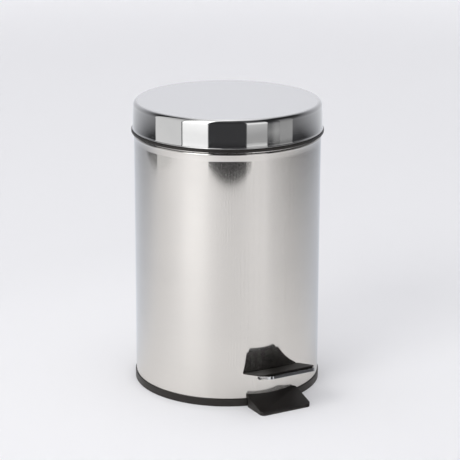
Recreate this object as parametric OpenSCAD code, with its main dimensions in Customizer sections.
// Round pedal bin, 3 litre class: polished steel body and lid, plastic rim and base,
// pedal lever, push rod, rear hinge, and a lift-out bucket with a wire handle.
// Origin: centre of the underside, on the floor. +Z up. The pedal points to -Y.

/* [Body] */
// Outside diameter of the steel body
body_d = 170; // [168:0.5:174]
// Thickness of the steel sheet
sheet_t = 0.6; // [0.5:0.05:0.6]
// Overall height with the lid closed
total_h = 264.5; // [258:0.5:280]
// Height of the plastic base ring
base_h = 7.2; // [7:0.1:7.4]

/* [Lid] */
// How far the lid stands out past the body, each side
lid_over = 1.4; // [1.2:0.1:1.6]
// Height of the lid, from its lower edge to its flat top
lid_h = 25.9; // [25:0.1:28]
// Radius of the rolled edge between the lid's top and its side
lid_round = 4.5; // [3:0.1:5]
// Opening angle of the lid
lid_open = 75; // [60:1:75]

/* [Pedal] */
// Width of the pedal pad at its back edge
pad_back_w = 56.9; // [50:0.1:58]
// Width of the pedal pad at its front edge
pad_front_w = 55.1; // [50:0.1:58]
// Distance from the bin's axis to the pad's front edge
pad_reach = 113.5; // [110:0.1:115]
// Thickness of the pad's plate
pad_t = 1.3; // [1.2:0.1:1.6]
// Upward slope of the pad, in degrees
pad_slope = 14.17; // [13:0.01:15]
// Width of the steel lever where it passes through the body
lever_w = 27; // [26:0.5:29]
// Width of the lever's plate under the pad
lever_plate_w = 48.5; // [44:0.5:50]
// Distance from the bin's axis to the lever's front lip
lever_reach = 121.3; // [119:0.1:122]
// Thickness of the lever's steel
lever_t = 1.5; // [1.2:0.1:1.6]

/* [Anti-tip foot] */
// Width of the foot
foot_w = 51; // [44:1:54]
// Distance from the bin's axis to the foot's front edge
foot_reach = 111; // [106:0.5:112]
// Height of the foot where it meets the body
foot_h = 10.9; // [9:0.1:12]

/* [Pins and rod] */
// Diameter of the lid hinge pin
hinge_pin_d = 4; // [3.5:0.1:4.2]
// Diameter of the pedal's pivot pin
pivot_pin_d = 4.5; // [4:0.1:4.8]
// Diameter of the push rod's wire
rod_d = 3; // [2.8:0.1:3]
// Radial running clearance of the pins
run = 0.05; // [0.04:0.01:0.08]

/* [Bucket] */
// Height of the bucket's underside above the floor
bucket_z = 33; // [32:0.5:40]
// Wall thickness of the bucket
bucket_t = 1.5; // [1.2:0.1:1.6]
// Diameter of the handle's wire
bail_d = 3; // [2.6:0.1:3]

/* [Hidden] */
$fn = 96;
overlap = 0.01;
gap = 0.05;                      // between parts that sit against each other
shank_r = 1.5;                   // rivets, base screws and bumper stems
hole_r = 1.55;                   // holes for those shanks
quarters = [0, 90, 180, 270];

body_r = body_d / 2;
body_in_r = body_r - sheet_t;
lid_r = body_r + lid_over;
lid_z = total_h - lid_h;         // lower edge of the lid
lid_draft = 0.6;                 // the lid's side leans in by this much at its top
rim_z = lid_z - 0.1;             // top of the rim
rim_low_z = rim_z - 2.75;        // lower edge of the rim's visible band
rim_r = body_r + 2.5;

// hinge axis and push rod
hinge_y = body_r + 6;
hinge_z = rim_z - 4.5;
hinge_at = [0, hinge_y, hinge_z];
rod_y = body_r - 6;
rod_r = rod_d / 2;
half_open = lid_open / 2;
arm_run = hinge_y - rod_y;       // from the hinge axis to the rod, along Y
hook_z = hinge_z - arm_run * tan(half_open);   // upper hook of the rod, lid closed
low_hook_z = 17.6;
// the slot in the lid's arm, measured from the hinge axis
arm_in = arm_run - rod_r - 0.35;
arm_out = arm_run / cos(half_open) + rod_r + 0.35;
arm_tip = arm_out + 1.5;

// pedal: "reach" is the distance in front of the bin's axis
pivot_y = -48;
pivot_z = 14.5;
pivot_at = [0, pivot_y, pivot_z];
pad_back_z = 31.8;               // top of the pad at pad_back_reach
pad_back_reach = 80.4;
lever_rear_z = 13.8;             // top of the lever's rear arm
function pad_top_z(reach) = pad_back_z + (reach - pad_back_reach) * tan(pad_slope);
function lever_top_z(reach) = pad_top_z(reach) - pad_t / cos(pad_slope) - gap;
// reach at which the sloping top of the lever meets its level rear arm
lever_bend = pad_back_reach - (lever_top_z(pad_back_reach) - lever_rear_z) / tan(pad_slope);

// rim's inner collar, and the ledge that carries the bucket's lip
collar_r = body_r - 12.8;
lip_r = collar_r - 0.3;
ledge_z = rim_z - 7.5;

// ---- shared shapes ----------------------------------------------------
module tube(outer, inner, height) {
  difference() {
    cylinder(r = outer, h = height);
    translate([0, 0, -1]) cylinder(r = inner, h = height + 2);
  }
}
module x_cyl(x0, x1, radius) {
  translate([x0, 0, 0]) rotate([0, 90, 0]) cylinder(r = radius, h = x1 - x0);
}
module y_cyl(y0, y1, radius) {
  translate([0, y0, 0]) rotate([-90, 0, 0]) cylinder(r = radius, h = y1 - y0);
}
// extrudes a shape drawn in (y, z) from x0 to x1
module side_plate(x0, x1) {
  translate([x0, 0, 0]) rotate([90, 0, 90]) linear_extrude(x1 - x0) children();
}
// the same plate on both sides of x = 0
module side_pair(inner, outer) {
  for (s = [-1, 1]) side_plate(s > 0 ? inner : -outer, s > 0 ? outer : -inner) children();
}
module block(width, depth, height) {
  translate([-width / 2, -depth / 2, 0]) cube([width, depth, height]);
}
// block with rounded upright edges
module round_block(width, depth, height, corner) {
  block(width - 2 * corner, depth, height);
  block(width, depth - 2 * corner, height);
  for (i = [-1, 1], j = [-1, 1])
    translate([i * (width / 2 - corner), j * (depth / 2 - corner), 0])
      cylinder(r = corner, h = height, $fn = 48);
}
module cross_slot(length, depth) {
  block(length, 0.7, depth);
  block(0.7, length, depth);
}
// children repeated at each angle, at a distance from the axis
module around(angles, distance) {
  for (a = angles) rotate([0, 0, a]) translate([distance, 0, 0]) children();
}
// y of a circle about the axis, at a given x
function chord_y(radius, x) = sqrt(radius * radius - x * x);

// rivet along +Y: shank from y0 to y1, a flat head at y0 and a low dome at y1
module y_rivet(y0, y1) {
  y_cyl(y0, y1, shank_r, $fn = 32);
  y_cyl(y0 - 0.55, y0, 2.5, $fn = 48);
  difference() {
    translate([0, y1 - 2.6, 0]) sphere(r = 3.6, $fn = 48);
    translate([-10, y1 - 20, -10]) cube([20, 20, 20]);
  }
}
// pin along X with a head at x0 and a clip groove near x1
module headed_pin(radius, x0, x1, groove_x) {
  difference() {
    union() {
      x_cyl(x0, x1 - 0.4, radius);
      x_cyl(x1 - 0.5, x1, radius - 0.3);
      x_cyl(x0 - 1.3, x0 + overlap, radius + 1.3);
    }
    translate([groove_x, 0, 0]) rotate([0, 90, 0]) tube(radius + 2, radius - 0.5, 0.9);
  }
}
// clip open at its top, for the groove of a headed pin
module pin_clip(radius, groove_x) {
  translate([groove_x + 0.1, 0, 0]) difference() {
    rotate([0, 90, 0]) tube(radius + 1.8, radius - 0.45, 0.7);
    translate([-1, -(radius - 0.9), 0]) cube([3, 2 * (radius - 0.9), radius + 3]);
    for (a = [55, -55])
      rotate([a, 0, 0]) translate([-1, 0, -(radius + 0.4)]) rotate([0, 90, 0])
        cylinder(r = 0.5, h = 3, $fn = 24);
  }
}

// ---- places of fasteners ----------------------------------------------
fixing_ring_r = body_r - 13;     // foot pads and base screws
guide_z = 116;                   // middle of the rod guide
module at_bumpers() { around([-90, 30, 150], body_r - 5.5) children(); }
module at_foot_pads() { around([45, 135, 225, 315], fixing_ring_r) children(); }
module at_base_screws() { around(quarters, fixing_ring_r) children(); }
module at_bracket_rivets() {
  for (x = [-8.5, 8.5], y = [pivot_y - 9.5, pivot_y + 9.5]) translate([x, y, 0]) children();
}
module at_guide_rivets() { for (x = [-7.2, 7.2]) translate([x, 0, guide_z]) children(); }
module at_hinge_rivets() {
  for (x = [-7, 7], z = [hinge_z - 38, hinge_z - 24]) translate([x, 0, z]) children();
}
module at_lid_rivets() { for (x = [-9.5, 9.5]) translate([x, 0, lid_z + 15]) children(); }
module lid_rivet_holes() { at_lid_rivets() y_cyl(body_r - 8, body_r + 9, hole_r); }

// ---- body -------------------------------------------------------------
flare_z = rim_z - 11.1;
bead_z = rim_z - 6.6;
function bead(t) = [body_r + 0.35 - 0.35 * t + 0.65 * sin(180 * t), bead_z + 2.7 * t];
// outer line (radius, z): plain wall, slight flare, rolled bead, plain neck in the rim's groove
wall_line = concat(
  [[body_r, base_h + gap], [body_r, flare_z], [body_r + 0.12, flare_z + 2]],
  [for (i = [0:8]) bead(i / 8)],
  [[body_r, rim_z - 2.3]]);
module body_shell() color("gainsboro") difference() {
  rotate_extrude($fn = 180) polygon(concat(wall_line,
    [for (i = [len(wall_line) - 1:-1:0]) wall_line[i] - [sheet_t, 0]]));
  // slot for the pedal lever
  translate([0, -body_r + 6, 28.1]) rotate([90, 0, 0]) round_block(lever_w + 2, 9, 12, 2);
  // notch for the lid's lever arm
  translate([-10.5, body_r - 8, hinge_z - 11]) cube([21, 16, 30]);
  at_hinge_rivets() y_cyl(body_r - 8, body_r + 4, hole_r);
  at_guide_rivets() y_cyl(body_r - 8, body_r + 4, hole_r);
}

groove_z = rim_z - 2.1;          // top of the groove that takes the body's edge
module top_rim() color([0.2, 0.2, 0.2]) difference() {
  rotate_extrude($fn = 180) polygon([
    // outer band and top
    [body_r + 0.25, rim_low_z], [rim_r - 0.3, rim_low_z], [rim_r, rim_low_z + 0.3],
    [rim_r, rim_z - 0.4], [rim_r - 0.4, rim_z], [collar_r + 0.4, rim_z],
    // collar and ledge
    [collar_r, rim_z - 0.4], [collar_r, ledge_z], [collar_r - 2.6, ledge_z],
    [collar_r - 2.6, ledge_z - 1.6], [collar_r + 1.6, ledge_z - 1.6], [collar_r + 1.6, groove_z],
    // skirt inside the body, then the groove
    [body_r - 2.8, groove_z], [body_r - 2.8, rim_z - 10.5], [body_r - 0.75, rim_z - 10.5],
    [body_r - 0.75, groove_z], [body_r + 0.25, groove_z]]);
  // pocket for the push rod and the lid's arm
  translate([-7, lip_r + 0.05, rim_z - 15]) cube([19, body_r + 4 - lip_r, 30]);
  // notch for the hinge
  translate([-17, body_r - 0.72, rim_z - 4.5]) cube([34, 10, 10]);
  at_bumpers() translate([0, 0, rim_z - 5]) cylinder(r = hole_r, h = 10, $fn = 32);
}

module rim_bumpers() color([0.12, 0.12, 0.12]) at_bumpers() {
  translate([0, 0, rim_z - 3.2]) cylinder(r = shank_r, h = 3.3, $fn = 32);
  translate([0, 0, rim_z + 0.01]) cylinder(r = 3, h = 0.65, $fn = 48);
}

// ---- base -------------------------------------------------------------
tray_r = body_r + 0.9;
tray_t = 2;
rib_t = 1.6;
rib_h = 3.2;
rib_ring_r = 31;
foot_back = body_r - 3;
plate_t = 0.8;
plate_z = base_h + 0.4;          // underside of the floor plate
plate_top = plate_z + plate_t;
plate_r = body_r - 0.65;

// wedge of the front foot, made smaller all round by inset
module foot_wedge(inset, low_z) {
  width = foot_w - 2 * inset;
  front = foot_reach - inset;
  back = foot_back + inset;
  intersection() {
    side_plate(-width / 2, width / 2) polygon([
      [-back, low_z], [-back, foot_h - inset + 0.3], [-(front - 1.2), 3 - inset],
      [-(front - 0.3), 2.4 - inset], [-front, 1.6 - inset], [-front, low_z]]);
    translate([0, -(foot_back + foot_reach) / 2, -1])
      round_block(width, foot_reach - foot_back - 2 * inset + (inset > 0 ? overlap : 0),
        foot_h + 2, inset > 0 ? 2 : 4);
  }
}
module base_tray() color([0.2, 0.2, 0.2]) difference() {
  union() {
    rotate_extrude($fn = 180) polygon([
      [0, 0], [tray_r - 0.3, 0], [tray_r, 0.3], [tray_r, base_h - 0.5], [tray_r - 0.3, base_h],
      [body_r - 2.4, base_h], [body_r - 2.4, tray_t], [0, tray_t]]);
    // bosses over the foot pads and round the screws
    at_foot_pads() translate([0, 0, 1]) cylinder(r = 7.6, h = 3.2);
    at_base_screws() translate([0, 0, 1]) cylinder(r = 5, h = plate_z - gap - 1);
    // radial ribs and the ring that joins them
    around([22.5:45:359], 30) translate([0, -rib_t / 2, 1.5]) cube([body_r - 32, rib_t, rib_h]);
    translate([0, 0, 1.5]) tube(rib_ring_r, rib_ring_r - rib_t, rib_h);
    difference() {
      foot_wedge(0, 0);
      translate([0, 0, base_h]) cylinder(r = body_r + 0.1, h = 20, $fn = 180);
      translate([0, 0, -1]) cylinder(r = body_r - 2, h = 20, $fn = 180);
    }
  }
  // hollow under the foot, with two ribs left in it
  difference() {
    foot_wedge(2.2, -1);
    cylinder(r = body_r + 1.2, h = 40, center = true, $fn = 180);
    for (x = [-9, 9]) translate([x - rib_t / 2, -foot_reach, -2]) cube([rib_t, 40, 20]);
  }
  at_foot_pads() translate([0, 0, -1]) cylinder(r = 6.1, h = 3);
  at_base_screws() translate([0, 0, -1]) {
    cylinder(r = 1.8, h = 20, $fn = 32);
    cylinder(r = 3.4, h = 4.6, $fn = 48);
  }
}
module foot_pads() color([0.12, 0.12, 0.12]) at_foot_pads() cylinder(r = 6, h = 1.95);
module base_screws() color("silver") at_base_screws() difference() {
  union() {
    translate([0, 0, 1.6]) cylinder(r = 3.1, h = 1.95, $fn = 48);
    translate([0, 0, 3.4]) cylinder(r = shank_r, h = 8.6, $fn = 32);
  }
  translate([0, 0, 1]) cross_slot(3.6, 1.6);
}
module floor_plate() color("lightgray") difference() {
  // flat plate with a raised ring and an upturned edge
  rotate_extrude($fn = 180) polygon([
    [0, plate_z], [plate_r, plate_z], [plate_r, base_h + 4.3], [plate_r - plate_t, base_h + 4.3],
    [plate_r - plate_t, plate_top], [body_r - 16, plate_top], [body_r - 16.7, plate_top + 0.6],
    [body_r - 19.3, plate_top + 0.6], [body_r - 20, plate_top], [0, plate_top]]);
  at_base_screws() cylinder(r = hole_r, h = 20, $fn = 32);
  at_bracket_rivets() cylinder(r = hole_r, h = 20, $fn = 32);
}

// ---- pedal pivot ------------------------------------------------------
bracket_z = plate_top + 0.02;    // underside of the bracket's foot plate
bracket_in_x = lever_w / 2 + 1.2;
bracket_out_x = bracket_in_x + 1.5;
bracket_rivet_z = base_h - 0.25;
pivot_groove_x = bracket_out_x + 0.25;
module pivot_bracket() color("lightgray") difference() {
  union() {
    translate([0, pivot_y, bracket_z]) round_block(2 * bracket_out_x, 26, 1.2, 3);
    side_pair(bracket_in_x, bracket_out_x) {
      translate([pivot_y, pivot_z]) circle(r = 4.6);
      polygon([[pivot_y - 9, bracket_z], [pivot_y + 9, bracket_z],
        [pivot_y + 4.5, pivot_z + 0.8], [pivot_y - 4.5, pivot_z + 0.8]]);
    }
  }
  translate(pivot_at) x_cyl(-40, 40, pivot_pin_d / 2 + 0.02);
  at_bracket_rivets() cylinder(r = hole_r, h = 20, $fn = 32);
}
module bracket_rivets() color("silver") at_bracket_rivets() {
  translate([0, 0, bracket_rivet_z])
    cylinder(r = shank_r, h = bracket_z + 1.3 - bracket_rivet_z, $fn = 32);
  translate([0, 0, bracket_z + 1.21]) cylinder(r = 2.8, h = 0.6, $fn = 48);
  translate([0, 0, bracket_rivet_z]) cylinder(r = 2.6, h = 0.6, $fn = 48);
}
module pivot_pin() color("silver") translate(pivot_at)
  headed_pin(pivot_pin_d / 2, -bracket_out_x - 0.2, bracket_out_x + 2, pivot_groove_x);
module pivot_clip() color("silver") translate(pivot_at) pin_clip(pivot_pin_d / 2, pivot_groove_x);

// ---- pedal ------------------------------------------------------------
lever_half = lever_w / 2;
plate_half = lever_plate_w / 2;
lever_rear = rod_y + 4.9;        // y of the lever's rear end
tip_reach = lever_reach + 1;     // past the lip, to be trimmed by the plan
lip_y = -(lever_reach - pad_back_reach) / cos(pad_slope) + 0.35;   // in the pad's frame
pad_len = (pad_reach - pad_back_reach) / cos(pad_slope);
pad_screw_y = -17;               // in the pad's frame; also the plate's back edge
boss_z = -(pad_t + lever_t);     // lower end of the pad's bosses, in the pad's frame

// pad's frame: its plane is the pad's top, -Y points out along the pad
module pad_frame() {
  translate([0, -pad_back_reach, pad_back_z]) rotate([-pad_slope, 0, 0]) children();
}
module at_pad_screws(z) { for (x = [-7, 7]) pad_frame() translate([x, pad_screw_y, z]) children(); }
// (y, z) of a point below the lever's sloping top
function on_lever(reach, drop) = [-reach, lever_top_z(reach) - drop];
// plan of the plate under the pad, square to the plate and made smaller all round by inset
module lever_plate(inset) {
  pad_frame() translate([0, (lip_y + pad_screw_y) / 2, -20])
    round_block(lever_plate_w - 2 * inset, pad_screw_y - lip_y - 2 * inset, 40, 4.5 - inset);
}
module pedal_lever() color("silver") difference() {
  union() {
    // bent sheet, cut to its plan
    intersection() {
      side_plate(-40, 40) polygon([
        on_lever(tip_reach, 0), [-lever_bend, lever_rear_z], [lever_rear, lever_rear_z],
        [lever_rear, lever_rear_z - lever_t], [-lever_bend - 0.2, lever_rear_z - lever_t],
        on_lever(tip_reach, lever_t / cos(pad_slope))]);
      union() {
        linear_extrude(60) polygon([
          [-lever_half, -100], [lever_half, -100], [lever_half, pivot_y + 12],
          [7, -lever_bend + 22], [7, lever_rear - 2], [5, lever_rear], [-3, lever_rear],
          [-7, lever_rear - 6], [-7, -lever_bend + 22], [-lever_half, pivot_y + 12]]);
        linear_extrude(60) polygon([
          [-plate_half, -108], [plate_half, -108], [plate_half, -102],
          [lever_half, -92], [-lever_half, -92], [-plate_half, -102]]);
        lever_plate(0);
      }
    }
    // turned-down edge round the front of the plate
    intersection() {
      side_plate(-40, 40) polygon([on_lever(tip_reach, 0.3), on_lever(102, 0.3),
        on_lever(104, 2.7), on_lever(tip_reach, 2.7)]);
      difference() {
        lever_plate(0);
        lever_plate(lever_t);
      }
    }
    side_pair(lever_half - lever_t, lever_half) {
      // ears at the pivot
      translate([pivot_y, pivot_z]) circle(r = 3.9);
      polygon([on_lever(15 - pivot_y, 0.4), on_lever(-pivot_y - 11, 0.4),
        [pivot_y + 3.6, pivot_z - 1.5], [pivot_y - 3.6, pivot_z - 1.5]]);
      // stiffening edges outside the body
      polygon([on_lever(body_r + 3.2, 0.4), on_lever(103, 0.4),
        on_lever(98.5, 5.2), on_lever(body_r + 5.6, 5.6)]);
    }
    // upright tab for the push rod
    side_plate(5.5, 7) polygon([
      [rod_y - 7, lever_rear_z - 0.5], [lever_rear, lever_rear_z - 0.5],
      [lever_rear, low_hook_z + 1.6], [lever_rear - 1.6, low_hook_z + 3.2],
      [rod_y - 1.6, low_hook_z + 3.2], [rod_y - 4, low_hook_z + 1]]);
    // pressed rib along the rear arm
    side_plate(-2, 2) polygon([
      [-lever_bend + 26, lever_rear_z - overlap], [-lever_bend + 27.5, lever_rear_z + 1.1],
      [rod_y - 12, lever_rear_z + 1.1], [rod_y - 10.5, lever_rear_z - overlap]]);
  }
  translate(pivot_at) x_cyl(-40, 40, pivot_pin_d / 2 + run);
  // open pivot: the rod's lower hook slides in this slot
  for (y = [-0.3, 2.1]) translate([0, rod_y + y, low_hook_z]) x_cyl(3, 9, rod_r + 0.2, $fn = 48);
  translate([3, rod_y - 0.3, low_hook_z - rod_r - 0.2]) cube([6, 2.4, 2 * rod_r + 0.4]);
  at_pad_screws(-20) cylinder(r = 2.95, h = 30, $fn = 48);
}
module pad_plan() {
  back = pad_back_w / 2;
  front = pad_front_w / 2;
  polygon([[-back, 6], [back, 6], [front, -pad_len + 3.5], [front - 1.1, -pad_len + 1],
    [front - 3.5, -pad_len], [-front + 3.5, -pad_len], [-front + 1.1, -pad_len + 1],
    [-front, -pad_len + 3.5]]);
}
module pedal_pad() color([0.15, 0.15, 0.15]) difference() {
  union() {
    pad_frame() translate([0, 0, -pad_t]) linear_extrude(pad_t) pad_plan();
    // bosses that locate the pad in the lever
    at_pad_screws(boss_z) cylinder(r = 2.8, h = -boss_z - 0.4, $fn = 48);
  }
  translate([0, 0, -1]) cylinder(r = body_r + 0.85, h = 60, $fn = 180);
  at_pad_screws(-6) cylinder(r = 1.25, h = 5.2, $fn = 32);
}
module pad_screws() color("silver") at_pad_screws(boss_z) difference() {
  union() {
    translate([0, 0, -0.5]) cylinder(r = 1.2, h = -boss_z - 0.4, $fn = 32);
    translate([0, 0, -1.6]) cylinder(r = 3.8, h = 1.5, $fn = 48);
  }
  translate([0, 0, -2.6]) cross_slot(3.4, 1.8);
}

// ---- push rod ---------------------------------------------------------
rod_bend = 3;
module rod_elbow(z, angle, start) {
  translate([rod_bend, 0, z]) rotate([90, 0, 0]) rotate_extrude(angle = angle, start = start)
    translate([rod_bend, 0]) circle(r = rod_r, $fn = 48);
}
module push_rod() color("silver") translate([0, rod_y, 0]) {
  translate([0, 0, low_hook_z + rod_bend])
    cylinder(r = rod_r, h = hook_z - low_hook_z - 2 * rod_bend);
  rod_elbow(low_hook_z + rod_bend, -90, 270);
  rod_elbow(hook_z - rod_bend, 90, 90);
  translate([0, 0, low_hook_z]) x_cyl(rod_bend, 9.6, rod_r);
  translate([0, 0, hook_z]) x_cyl(rod_bend, 11, rod_r);
}
module rod_clips() color("silver") for (place = [[7.4, low_hook_z], [8.9, hook_z]])
  translate([place[0], rod_y, place[1]]) rotate([0, 90, 0]) tube(rod_r + 1.7, rod_r + 0.02, 0.8);
module rod_guide() color([0.2, 0.2, 0.2]) difference() {
  intersection() {
    translate([0, body_r - 4, guide_z - 8]) round_block(20, 13, 16, 2);
    translate([0, 0, 100]) cylinder(r = body_in_r - gap, h = 40, $fn = 180);
    // back plate, and the round nose for the rod
    union() {
      translate([-12, body_r - 4.2, 100]) cube([24, 20, 40]);
      translate([0, rod_y, 100]) cylinder(r = 3.6, h = 40);
      translate([-3.6, rod_y, 100]) cube([7.2, 10, 40]);
    }
  }
  translate([0, rod_y, 100]) cylinder(r = rod_r + run + 0.03, h = 40);
  at_guide_rivets() y_cyl(body_r - 12, body_r + 2, hole_r);
}
module guide_rivets() color("silver") at_guide_rivets()
  y_rivet(body_r - 4.2 - 0.02, chord_y(body_r, 4.7) + 0.03);

// ---- hinge ------------------------------------------------------------
lug_in_x = 12.3;
lug_out_x = 16.3;
hinge_groove_x = lug_out_x + 0.2;
strap_t = 2.2;                   // from the steel to the outside of the hinge plates
// curved plate with rounded corners, at the rear of a cylinder of the given radius
module rear_plate(radius, z0, z1, width) {
  intersection() {
    translate([0, 0, z0]) tube(radius + strap_t, radius + gap, z1 - z0, $fn = 180);
    translate([0, body_r, z0]) rotate([-90, 0, 0]) translate([0, -(z1 - z0) / 2, -20])
      round_block(width, z1 - z0, 40, 3);
  }
}
module hinge_bracket() color([0.2, 0.2, 0.2]) difference() {
  union() {
    rear_plate(body_r, hinge_z - 46, hinge_z - 13.5, 40);
    side_pair(lug_in_x, lug_out_x) {
      translate([hinge_y, hinge_z]) circle(r = 4.8);
      polygon([[body_r - 0.3, hinge_z - 38], [body_r - 0.3, hinge_z - 9],
        [body_r + 1.2, hinge_z - 5], [hinge_y - 4.2, hinge_z + 1], [hinge_y + 4.8, hinge_z],
        [hinge_y + 3.4, hinge_z - 14], [body_r + 1.4, hinge_z - 40]]);
    }
  }
  cylinder(r = body_r + gap, h = 400, $fn = 180);
  translate(hinge_at) x_cyl(-30, 30, hinge_pin_d / 2 + 0.02);
  at_hinge_rivets() y_cyl(body_r - 8, body_r + 6, hole_r);
}
module hinge_rivets() color("silver") at_hinge_rivets()
  y_rivet(chord_y(body_in_r, 9.5) - 0.02, chord_y(body_r + strap_t, 4.5) + 0.05);
module hinge_pin() color("silver") translate(hinge_at)
  headed_pin(hinge_pin_d / 2, -lug_out_x - 0.1, lug_out_x + 2, hinge_groove_x);
module hinge_clip() color("silver") translate(hinge_at) pin_clip(hinge_pin_d / 2, hinge_groove_x);

slot_r = rod_r + 0.8;
slot_in = arm_in + rod_r + 0.35;     // centres of the slot's round ends
slot_out = arm_out - rod_r - 0.35;
// hinge axis, turned so that -Y runs down along the arm with the lid closed
module arm_frame() { translate(hinge_at) rotate([half_open, 0, 0]) children(); }
module lid_hinge() color([0.2, 0.2, 0.2]) difference() {
  union() {
    rear_plate(lid_r, lid_z + 2.4, lid_z + 20.4, 32);
    side_plate(-11.9, 11.9) {
      translate([hinge_y, hinge_z]) circle(r = 4.3);
      polygon([[lid_r + 0.75, hinge_z], [hinge_y, hinge_z - 3], [hinge_y + 4.0, hinge_z + 1.5],
        [lid_r + 2.1, lid_z + 12], [lid_r + 0.75, lid_z + 12]]);
    }
    // lever arm that the push rod lifts
    arm_frame() side_plate(4.5, 8.5) {
      translate([-arm_tip + 3.4, 0]) circle(r = 3.4, $fn = 64);
      polygon([[-arm_tip + 3.4, -3.4], [0, -4.2], [0, 4.2], [-arm_tip + 3.4, 3.4]]);
    }
  }
  translate(hinge_at) x_cyl(-30, 30, hinge_pin_d / 2 + run);
  // open pivot: the rod's upper hook slides in this slot
  arm_frame() {
    translate([4, -slot_out, -slot_r]) cube([5, slot_out - slot_in, 2 * slot_r]);
    for (y = [-slot_in, -slot_out]) translate([0, y, 0]) x_cyl(4, 9, slot_r, $fn = 48);
  }
  lid_rivet_holes();
}
module lid_rivets() color("silver") at_lid_rivets()
  y_rivet(chord_y(lid_r - 3.1, 12) - 0.02, chord_y(lid_r + strap_t, 7) + 0.05);

// ---- lid --------------------------------------------------------------
round_x = lid_r - lid_draft - lid_round;   // centre of the rolled edge
round_z = total_h - lid_round;
// eight steps of the rolled edge, from angle a0 to a1
function edge_arc(radius, a0, a1) = [for (i = [0:8])
  [round_x, round_z] + radius * [cos(a0 + (a1 - a0) * i / 8), sin(a0 + (a1 - a0) * i / 8)]];
module lid_shell() color("gainsboro") difference() {
  rotate_extrude($fn = 180) polygon(concat(
    // small bead at the lower edge
    [[lid_r - sheet_t, lid_z], [lid_r + 0.25, lid_z], [lid_r + 0.45, lid_z + 0.25],
     [lid_r + 0.45, lid_z + 0.75], [lid_r + 0.2, lid_z + 1.05], [lid_r, lid_z + 1.3]],
    edge_arc(lid_round, 0, 90),
    [[0, total_h], [0, total_h - sheet_t]],
    edge_arc(lid_round - sheet_t, 90, 0)));
  lid_rivet_holes();
}
module lid_liner() color([0.25, 0.25, 0.25]) difference() {
  low_r = lid_r - sheet_t - 0.3;
  top_r = low_r - lid_draft;
  top_z = total_h - sheet_t - 0.3;
  rotate_extrude($fn = 180) polygon([
    [low_r, lid_z + 0.7], [top_r, top_z - 5], [top_r - 1.6, top_z - 1.8], [top_r - 5, top_z],
    [0, top_z], [0, top_z - 1.6], [top_r - 5.5, top_z - 1.6], [top_r - 1.6, top_z - 5.5],
    [low_r - 1.6, lid_z + 2.3], [body_r - 9, lid_z + 2.3], [body_r - 9, lid_z + 0.7]]);
  lid_rivet_holes();
}

// ---- bucket -----------------------------------------------------------
lip_z = ledge_z + gap;           // underside of the bucket's lip
lip_top = lip_z + 2;
bucket_top_r = lip_r - 2.6;      // outside radius under the lip
bucket_low_r = bucket_top_r - 7;
bail_z = lip_top + gap + bail_d / 2;
bail_r = lip_r - 3.3;
bail_bend = 1.7;                 // bend radius at the handle's ends
lug_t = 1.7;
lug_x = bail_r - bail_bend - 1.9;
module inner_bucket() color([0.3, 0.3, 0.32]) difference() {
  union() {
    rotate_extrude($fn = 180) polygon([
      [0, bucket_z], [bucket_low_r - 4, bucket_z], [bucket_low_r, bucket_z + 4],
      [bucket_top_r, lip_z], [lip_r - 0.3, lip_z], [lip_r, lip_z + 0.3], [lip_r, lip_top - 0.3],
      [lip_r - 0.3, lip_top], [bucket_top_r - bucket_t + 0.6, lip_top],
      [bucket_top_r - bucket_t, ledge_z + 1.2], [bucket_low_r - bucket_t, bucket_z + 4],
      [bucket_low_r - 4, bucket_z + bucket_t], [0, bucket_z + bucket_t]]);
    // lugs that carry the handle
    for (a = [0, 180]) rotate([0, 0, a]) {
      translate([lug_x, -4, ledge_z - 8]) cube([bucket_top_r - 0.8 - lug_x, 8, 9.5]);
      translate([lug_x, -4, ledge_z - 8]) cube([lug_t, 8, bail_z - ledge_z + 8]);
      translate([lug_x, 0, bail_z]) x_cyl(0, lug_t, 4);
    }
  }
  around([0, 180], lug_x - 1) translate([0, 0, bail_z]) x_cyl(0, 2.9, bail_d / 2 + run);
}
// the handle lies flat on the lip, round the front half
module bucket_handle() color("silver") translate([0, 0, bail_z]) {
  for (s = [0, 1]) mirror([s, 0, 0]) {
    translate([0, -bail_bend, 0]) rotate_extrude(angle = -90, start = 0, $fn = 180)
      translate([bail_r, 0]) circle(r = bail_d / 2, $fn = 48);
    translate([bail_r - bail_bend, -bail_bend, 0]) rotate_extrude(angle = 90, start = 0)
      translate([bail_bend, 0]) circle(r = bail_d / 2, $fn = 48);
    x_cyl(lug_x - 0.5, bail_r - bail_bend, bail_d / 2, $fn = 48);
  }
}

body_shell();
top_rim();
rim_bumpers();
base_tray();
foot_pads();
base_screws();
floor_plate();
pivot_bracket();
bracket_rivets();
pivot_pin();
pivot_clip();
pedal_lever();
pedal_pad();
pad_screws();
push_rod();
rod_clips();
rod_guide();
guide_rivets();
hinge_bracket();
hinge_rivets();
hinge_pin();
hinge_clip();
lid_hinge();
lid_rivets();
lid_shell();
lid_liner();
inner_bucket();
bucket_handle();
